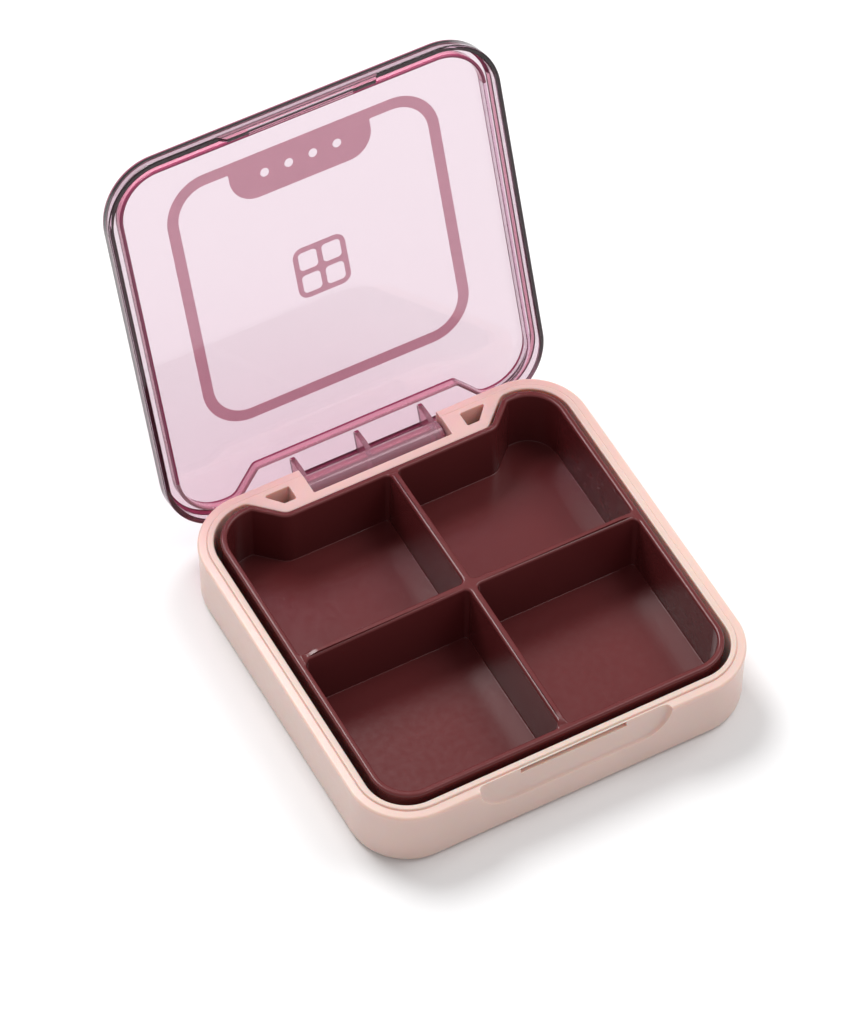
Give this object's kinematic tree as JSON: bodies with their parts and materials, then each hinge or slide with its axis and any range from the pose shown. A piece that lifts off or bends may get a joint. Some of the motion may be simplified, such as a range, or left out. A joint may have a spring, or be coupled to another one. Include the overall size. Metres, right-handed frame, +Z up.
{
  "type": "pill organizer box",
  "caption": "Pocket pill organizer: moulded base shell, drop-in tray with divided compartments, and a clear hinged lid resting open.",
  "frame": {"origin": "centre of the flat underside, below the crossing of the dividers", "axes": "+Z up, -Y towards the finger scoop at the front, +X to the right seen from the front, hinge axis along X at the rear"},
  "size_m": [0.0684, 0.0934, 0.0704],
  "materials": {
    "shell": "satin peach moulded plastic",
    "tray": "semi-gloss burgundy moulded plastic",
    "lid": "clear polished plastic tinted pink",
    "print": "rose printing ink"
  },
  "bodies": {
    "base": {"base_shell": "shell", "pill_tray": "tray"},
    "lid": {"lid": "lid", "lid_print_border": "print", "lid_print_symbol": "print"}
  },
  "joints": [
    {"name": "lid_hinge", "type": "hinge", "parent": "base", "child": "lid", "pos_m": [0, 0.0318, 0.009], "axis": [1, 0, 0], "range_deg": [0, 109.2]}
  ]
}
